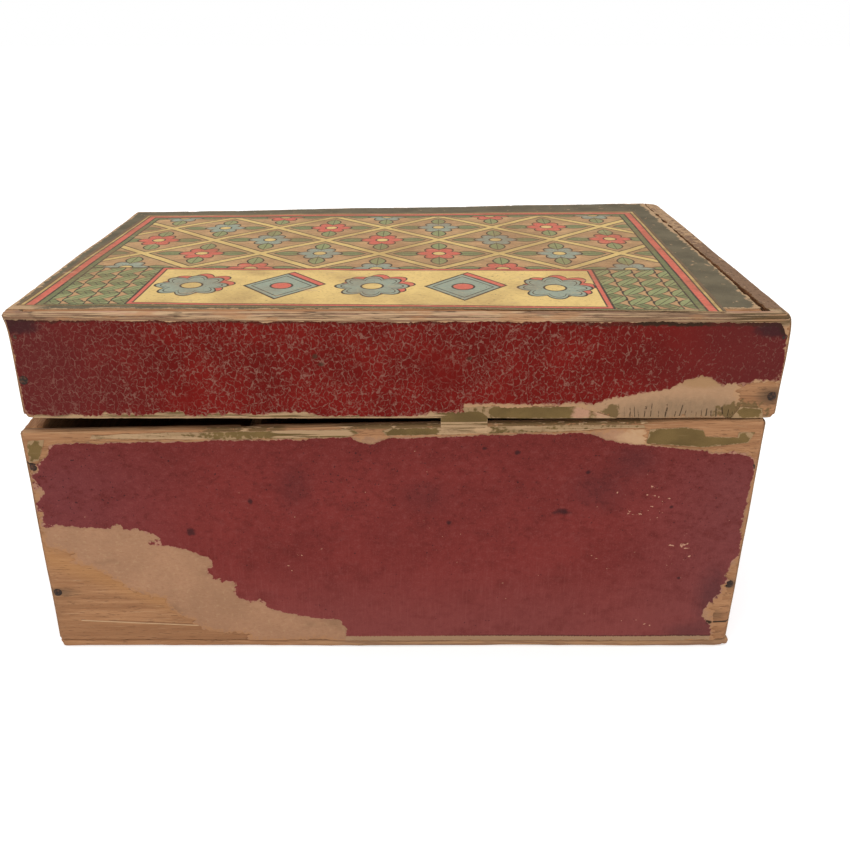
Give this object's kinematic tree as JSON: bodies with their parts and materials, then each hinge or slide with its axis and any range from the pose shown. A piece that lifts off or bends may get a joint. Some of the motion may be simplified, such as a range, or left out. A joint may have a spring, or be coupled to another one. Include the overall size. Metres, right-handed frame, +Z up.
{
  "type": "lidded wooden game box",
  "caption": "Old nailed wooden game box with a hinged lid, covered in torn red paper with olive edging and a printed label on top, divided inside.",
  "frame": {"origin": "centre of the face that the box stands on", "axes": "+X to the right along the box's length, -Y to the front, +Y to the hinge side, +Z up"},
  "size_m": [0.2833, 0.1828, 0.147],
  "materials": {
    "wood": "bare, aged",
    "red_paper": "matte, worn",
    "olive_paper": "matte, worn",
    "lining_paper": "matte, torn",
    "label_paper": "printed, matte",
    "nail_iron": "rusted"
  },
  "bodies": {
    "base": {"bottom_board": "wood", "base_back_board": "wood", "base_front_board": "wood", "base_left_board": "wood", "base_right_board": "wood", "partition_board": "wood", "base_back_nails": "nail_iron", "base_front_nails": "nail_iron", "bottom_nails": "nail_iron", "base_back_lining": "lining_paper", "base_back_paper": "red_paper", "base_front_paper": "red_paper", "base_left_paper": "red_paper", "base_right_paper": "red_paper", "base_hinge_strip": "olive_paper", "hinge_tab": "olive_paper"},
    "lid": {"lid_top_board": "wood", "lid_back_board": "wood", "lid_front_board": "wood", "lid_left_board": "wood", "lid_right_board": "wood", "lid_back_nails": "nail_iron", "lid_front_nails": "nail_iron", "lid_back_lining": "lining_paper", "lid_back_paper": "red_paper", "lid_front_paper": "red_paper", "lid_left_paper": "red_paper", "lid_right_paper": "red_paper", "lid_border_paper": "olive_paper", "lid_label": "label_paper", "lid_hinge_strip": "olive_paper"}
  },
  "joints": [
    {"name": "lid_hinge", "type": "hinge", "parent": "base", "child": "lid", "pos_m": [0, 0.0915, 0.10525], "axis": [-1, 0, 0], "range_deg": [0, 175], "deforming": ["hinge_tab"]}
  ]
}
